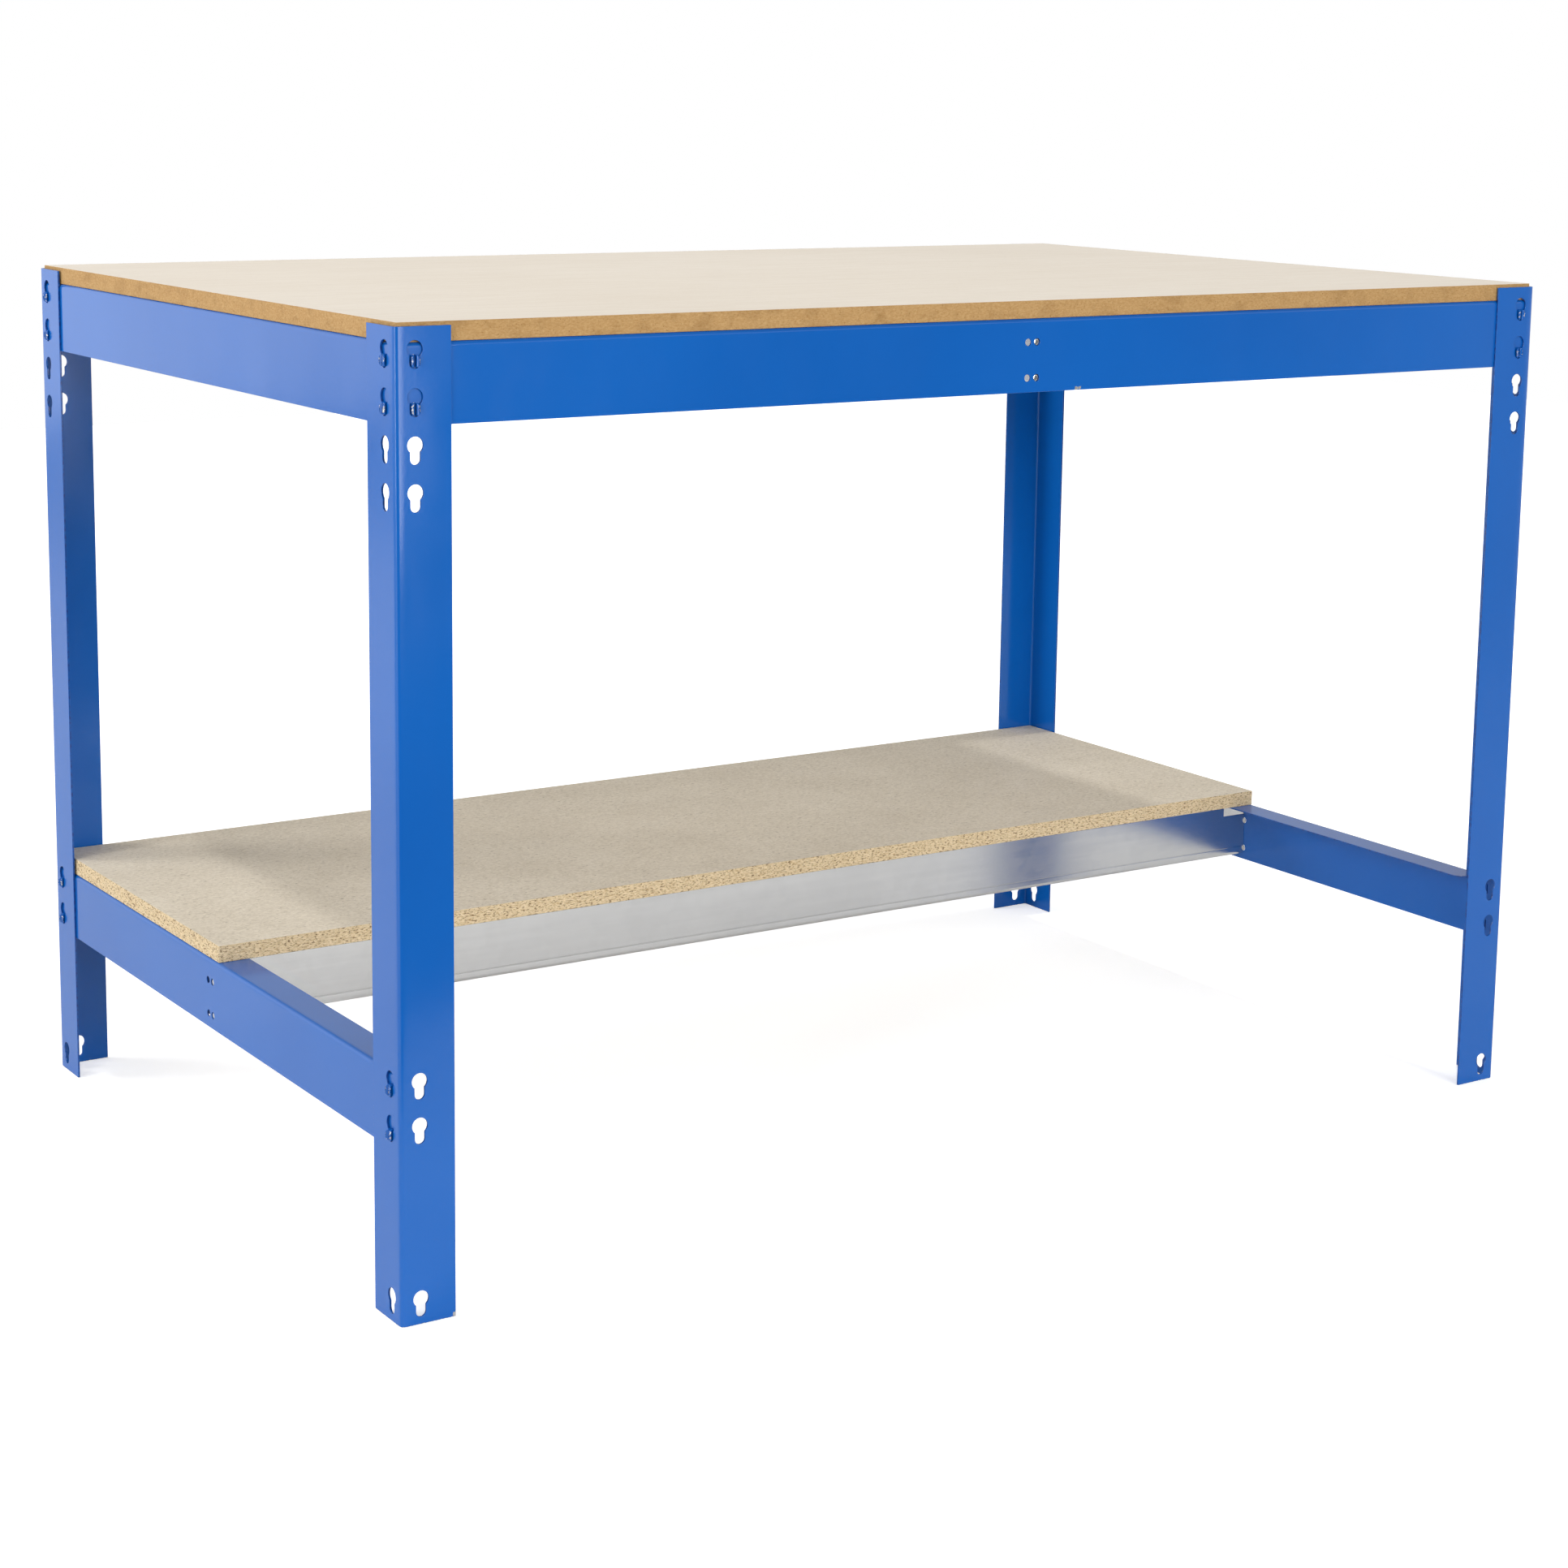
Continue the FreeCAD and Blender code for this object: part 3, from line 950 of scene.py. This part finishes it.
def makeLugPair():
    points, faces, rub = [], [], []
    for side in (-1, 1):
        loft = earLoft(side)
        start = len(points)
        for inner, outer, high, share in loft:
            points += [(inner.x, inner.y, -high), (outer.x, outer.y, -high), (outer.x, outer.y, high),
                       (inner.x, inner.y, high)]
            rub += [share] * 4
        for i in range(len(loft) - 1):
            a = start + 4 * i
            for k in range(4):
                faces.append([a + k, a + (k + 1) % 4, a + 4 + (k + 1) % 4, a + 4 + k])
        last = start + 4 * (len(loft) - 1)
        faces += [[start, start + 1, start + 2, start + 3], [last, last + 1, last + 2, last + 3]]
    mesh = solidFrom("lugPair", [Vector(p) * mm for p in points], faces)
    worn = mesh.attributes.new("rub", "FLOAT", "POINT")
    worn.data.foreach_set("value", [lugSizes["wear"] * r for r in rub])
    for face in mesh.polygons:
        face.use_smooth = True
    pair = addObject("lugPair", mesh)
    easeEdges(pair, lugSizes["ease"], lugSizes["easeSegments"])
    return pair


def makeLugTree():
    # copies of one shape at points that carry a turn, each a little off it by the wobble
    tree, given = makeTree("lugPairs", [("Lug", "Object"), ("Wobble", "Float"), ("Seed", "Int"),
                                        ("Material", "Material")])
    lug = link("GeometryNodeObjectInfo", {"Object": given["Lug"]})
    turn = put(tree, "GeometryNodeInputNamedAttribute", {"Name": "turn"}, data_type="FLOAT")
    off = put(tree, "FunctionNodeRandomValue", {"Seed": given["Seed"], 2: -1.0, 3: 1.0}, data_type="FLOAT")
    swing = calc("MULTIPLY_ADD", off.outputs[1], given["Wobble"], turn)
    euler = link("ShaderNodeCombineXYZ", {"Z": swing})
    spin = link("FunctionNodeEulerToRotation", {"Euler": euler})
    pairs = link("GeometryNodeInstanceOnPoints", {
        "Points": given["Geometry"], "Instance": lug.outputs["Geometry"], "Rotation": spin})
    closeTree(pairs, given["Material"])
    return tree


lugTree = makeLugTree()


def setOnBeams(name, shape, places, wobble, seed, material, slot):
    # copies of a shape, at places given by side, level, way along and drop, and turned with the side
    mesh = meshFrom(name, [onBeam(*place) for place in places], [])
    turns = [radians(benchSides[place[0]]["turn"]) for place in places]
    mesh.attributes.new("turn", "FLOAT", "POINT").data.foreach_set("value", turns)
    pieces = addObject(name, mesh)
    runTree(pieces, lugTree, {"Lug": shape, "Wobble": wobble, "Seed": seed, "Material": material})
    settle(pieces)
    discard(shape)
    finishPiece(pieces, "frame", slot)


def makeLugs():
    places = []
    for _, side, level, _ in beamSizes["beams"].values():
        column = benchSides[side]["halfRun"] - beamSizes["lugFromEnd"]
        places += [(side, level, end * column, drop) for end in (-1, 1) for drop in rowsBelow("lug")]
    wobble = radians(lugSizes["wobble"])
    setOnBeams("beamLugs", makeLugPair(), places, wobble, lugSizes["seed"], lugPaint, "blue_paint")


makeLugs()
print("lugs set in the keyholes")


# Galvanised channels: the shelf's front beam and the tie under the worktop
channelSizes = {
    "sheet": 1.2,
    "bendRadius": 4.0,
    "ease": 0.22,
    "flange": 26.0,
    "web": 60.0,
    "lip": 10.0,
    "endGap": 0.3,
    "notchStart": 33.0,
    "notchDepth": 13.0,
    "notchStep": 0.01,
    "endPlateReach": (0.3, 34.0),
    "endPlateLevels": (2.6, 55.0),
    "endPlateEase": 0.3,
    "toothRows": rowsBelow("tieHole"),
    "toothHalf": 2.99,
    "toothLength": 1.0,
    "toothTaper": 0.25,
    "creaseAt": 51.0,
    "creaseHalf": 0.7,
    "creaseDepth": 0.14,
    # node, half the run between the uprights, turn, place and level of the web's top, and material
    "channels": {
        "shelfFrontBeam": ("shelf_front_beam", halfAcross, 0, (0, -5.6), "low", galvanisedAcross),
        "worktopCrossTie": ("worktop_cross_tie", halfDeep, -90, (4.4, 0), "top", galvanisedAlong),
    },
}


def makeChannel(halfRun, material):
    sizes = channelSizes
    line = sectionLine([(sizes["flange"], 0), (0, 0), (0, -sizes["web"]), (sizes["lip"], -sizes["web"])],
                       sizes["bendRadius"])
    level, half = -sizes["creaseAt"], sizes["creaseHalf"]
    deep = sizes["creaseDepth"]
    crease = [(0, level + half), (deep, level + half / 3), (deep, level - half / 3), (0, level - half)]
    bendEnd = len(quarterBend(sizes["bendRadius"], 0, 0))  # the last point of the first bend
    line[bendEnd + 1:bendEnd + 1] = [Vector(p) for p in crease]
    stations = stationsOf(line)
    top = stations[bendEnd] - sizes["bendRadius"]  # where the top of the web would be if the bend were sharp
    end = halfRun - beamSizes["sheet"] - sizes["endGap"]
    notch = halfRun - sizes["notchStart"]
    foot = top + sizes["notchDepth"]
    side = [(0, notch), (foot, notch), (foot + sizes["notchStep"], end)]
    for row in sizes["toothRows"]:
        low, high = top + row - sizes["toothHalf"], top + row + sizes["toothHalf"]
        tip, taper = end + sizes["toothLength"], sizes["toothTaper"]
        side += [(low, end), (low + taper, tip), (high - taper, tip), (high, end)]
    side.append((stations[-1], end))
    return pressPiece("channel", line, side, sizes["sheet"], [], material, sizes["ease"])


def makeChannels():
    for name, (node, halfRun, turn, spot, level, material) in channelSizes["channels"].items():
        mesh = makeChannel(halfRun, material)
        mesh.transform(lieAlongX)
        channel = placePiece(name, mesh, turn, (*spot, beamTops[level]))
        finishPiece(channel, "frame", "galvanised_steel", node)


toothTip = {
    "radius": 3.1,
    "sides": 18,
    # depth below the beam's face and share of the radius, ring by ring
    "rings": ((1.8, 1.0), (1.45, 1.0), (0.95, 0.86), (0.75, 0.6)),
    "seed": 1,
    # side and level of the beam, and which of its two columns of tie holes
    "ends": (("front", "top", 1), ("back", "top", -1), ("left", "low", 1), ("right", "low", -1)),
}


def makeToothTips():
    # the teeth's pressed ends, which fill the tie holes a little below the beams' faces
    sides, rings = toothTip["sides"], toothTip["rings"]
    points = []
    for depth, share in rings:
        radius = toothTip["radius"] * share
        for i in range(sides):
            angle = 2 * pi * i / sides
            points.append(Vector((radius * cos(angle), depth, radius * sin(angle))) * mm)
    last = (len(rings) - 1) * sides
    faces = [list(range(sides)), list(range(last, last + sides))]
    for start in range(0, last, sides):
        for i in range(sides):
            a, b = start + i, start + (i + 1) % sides
            faces.append([a, b, b + sides, a + sides])
    tip = addObject("toothTip", solidFrom("toothTip", points, faces))
    column = beamSizes["tieHoleSpacing"] / 2
    places = [(side, level, way * column, row) for side, level, way in toothTip["ends"]
              for row in channelSizes["toothRows"]]
    setOnBeams("toothTips", tip, places, 0.0, toothTip["seed"], galvanisedAlong, "galvanised_steel")


def makeEndPlates():
    # plates folded back at both ends of each channel, flat against the beams
    sizes = channelSizes
    shape = bmesh.new()
    near, far = sizes["endPlateReach"]
    for _, halfRun, turn, spot, level, _ in sizes["channels"].values():
        spin = Matrix.Rotation(radians(turn), 3, "Z")
        outer = halfRun - beamSizes["sheet"] - sizes["endGap"]
        inner = outer - sizes["sheet"]
        upper, lower = (beamTops[level] - drop for drop in sizes["endPlateLevels"])
        for end in (-1, 1):
            block = bmesh.ops.create_cube(shape, size=1.0)["verts"]
            for vertex in block:
                along = end * (outer if vertex.co.x > 0 else inner)
                across = far if vertex.co.y > 0 else near
                high = upper if vertex.co.z > 0 else lower
                vertex.co = (spin @ Vector((along, across, 0)) + Vector((*spot, high))) * mm
    bmesh.ops.recalc_face_normals(shape, faces=shape.faces)
    bmesh.ops.bevel(shape, geom=shape.edges[:], offset=sizes["endPlateEase"] * mm, segments=2, profile=0.5,
                    affect="EDGES")
    mesh = bpy.data.meshes.new("endPlates")
    shape.to_mesh(mesh)
    shape.free()
    mesh.materials.append(galvanisedAcross)
    finishPiece(addObject("endPlates", mesh), "frame", "galvanised_steel")


makeChannels()
makeToothTips()
makeEndPlates()
print("channels folded")


# Boards: sawn, with eased edges
boardSizes = {
    "ease": 0.6,
    "easeSegments": 3,
    "levelFace": 0.9,  # faces whose normal rises more than this are the board's faces, the others its edge
    "flakeInset": 0.25,
    "flakeMargin": 1.0,
    "flakesPerSquareMetre": 240000,
    "flakeLength": (1.2, 5.6),
    "flakeWidth": (0.25, 0.8),
    "flakeThickness": (0.15, 0.3),
    "flakeTilt": 30.0,
    "flakeTaper": (0.9, 0.8),
    "seed": 5,
    "tiltSeed": 21,
    "sizeSeed": 22,
    "toneSeed": 23,
}


def boardMesh(name, low, high, faceMaterial, edgeMaterial):
    sizes = boardSizes
    shape = bmesh.new()
    bmesh.ops.create_cube(shape, size=1.0)
    for vertex in shape.verts:
        vertex.co = Vector([low[i] if vertex.co[i] < 0 else high[i] for i in range(3)])
    bmesh.ops.bevel(shape, geom=shape.edges[:], offset=sizes["ease"] * mm, segments=sizes["easeSegments"],
                    profile=0.5, affect="EDGES")
    mesh = bpy.data.meshes.new(name)
    shape.to_mesh(mesh)
    shape.free()
    mesh.materials.append(faceMaterial)
    mesh.materials.append(edgeMaterial)
    for face in mesh.polygons:
        face.material_index = 0 if abs(face.normal.z) > sizes["levelFace"] else 1
        face.use_smooth = True
    target = addObject(name, mesh)
    target.modifiers.new("weighted", "WEIGHTED_NORMAL")
    settle(target)
    return target


def makeWorktop():
    low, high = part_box("worktop_board")
    board = boardMesh("worktopBoard", low, high, fibreboardFace, fibreboardEdge)
    finishPiece(board, "worktop", "fibreboard", "worktop_board")


def makeFlakeTree():
    # flakes of wood lying in the sawn edges, mostly along the board
    tree, given = makeTree("edgeFlakes", [
        ("Flake", "Object"), ("Density", "Float"), ("Smallest", "Vector"), ("Largest", "Vector"),
        ("Tilt", "Float"), ("Seed", "Int"), ("Material", "Material"),
    ])
    sizes = boardSizes
    spread = link("GeometryNodeDistributePointsOnFaces",
                  {"Mesh": given["Geometry"], "Density": given["Density"], "Seed": given["Seed"]},
                  distribute_method="RANDOM")
    outward = spread.outputs["Normal"]
    level = vectorCalc("CROSS_PRODUCT", (0, 0, 1), outward)
    lying = link("FunctionNodeAxesToRotation", {"Primary Axis": outward, "Secondary Axis": level},
                 primary_axis="Z", secondary_axis="X")
    low = calc("MULTIPLY", given["Tilt"], -1.0)
    tilt = put(tree, "FunctionNodeRandomValue", {2: low, 3: given["Tilt"], "Seed": sizes["tiltSeed"]},
               data_type="FLOAT")
    euler = link("ShaderNodeCombineXYZ", {"Z": tilt.outputs[1]})
    spin = link("FunctionNodeEulerToRotation", {"Euler": euler})
    turned = link("FunctionNodeRotateRotation", {"Rotation": lying, "Rotate By": spin},
                  rotation_space="LOCAL")
    size = put(tree, "FunctionNodeRandomValue", {
        0: given["Smallest"], 1: given["Largest"], "Seed": sizes["sizeSeed"]}, data_type="FLOAT_VECTOR")
    flake = link("GeometryNodeObjectInfo", {"Object": given["Flake"]})
    laid = link("GeometryNodeInstanceOnPoints", {
        "Points": spread.outputs["Points"], "Instance": flake.outputs["Geometry"],
        "Rotation": turned, "Scale": size})
    tone = put(tree, "FunctionNodeRandomValue", {2: 0.0, 3: 1.0, "Seed": sizes["toneSeed"]},
               data_type="FLOAT")
    toned = link("GeometryNodeStoreNamedAttribute",
                 {"Geometry": laid, "Name": "flakeTone", "Value": tone.outputs[1]},
                 data_type="FLOAT", domain="INSTANCE")
    closeTree(toned, given["Material"])
    return tree


def makeFlakeShape():
    outline = [(-0.5, 0.05), (-0.22, 0.5), (0.5, 0.12), (0.27, -0.5), (-0.36, -0.36)]
    count = len(outline)
    taperX, taperY = boardSizes["flakeTaper"]
    points = [(x, y, -0.5) for x, y in outline] + [(x * taperX, y * taperY, 0.5) for x, y in outline]
    faces = [[count - 1 - i for i in range(count)], [count + i for i in range(count)]]
    for i in range(count):
        j = (i + 1) % count
        faces.append([i, j, count + j, count + i])
    return addObject("flake", solidFrom("flake", points, faces))


def edgeStrips(low, high):
    # the four sawn edges as plain strips, kept clear of the corners so that no flake stands out of the board
    inset, margin = boardSizes["flakeInset"] * mm, boardSizes["flakeMargin"] * mm
    reach = boardSizes["flakeLength"][1] / 2 * mm
    bottom, top = low.z + margin, high.z - margin
    left, right, front, back = low.x + inset, high.x - inset, low.y + inset, high.y - inset
    points, faces = [], []
    for a, b in (((left + reach, front), (right - reach, front)),
                 ((right, front + reach), (right, back - reach)),
                 ((right - reach, back), (left + reach, back)),
                 ((left, back - reach), (left, front + reach))):
        start = len(points)
        points += [(*a, bottom), (*b, bottom), (*b, top), (*a, top)]
        faces.append([start, start + 1, start + 2, start + 3])
    return addObject("shelfFlakes", meshFrom("shelfFlakes", points, faces))


def makeShelf():
    sizes = boardSizes
    low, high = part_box("shelf_board")
    inset = Vector((sizes["flakeInset"] * mm, sizes["flakeInset"] * mm, 0))
    board = boardMesh("shelfBoard", low + inset, high - inset, chipboardFace, chipboardEdge)
    finishPiece(board, "shelf", "chipboard", "shelf_board")
    flakes = edgeStrips(low, high)
    shape = makeFlakeShape()
    facesPerFlake = len(shape.data.polygons)
    smallest, largest = zip(sizes["flakeLength"], sizes["flakeWidth"], sizes["flakeThickness"])
    runTree(flakes, makeFlakeTree(), {
        "Flake": shape,
        "Density": float(sizes["flakesPerSquareMetre"]),
        "Smallest": [v * mm for v in smallest],
        "Largest": [v * mm for v in largest],
        "Tilt": radians(sizes["flakeTilt"]),
        "Seed": sizes["seed"],
        "Material": flakeWood,
    })
    settle(flakes)
    discard(shape)
    finishPiece(flakes, "shelf", "chipboard")
    print("shelf edge has", len(flakes.data.polygons) // facesPerFlake, "flakes")


makeWorktop()
makeShelf()
print("boards laid")
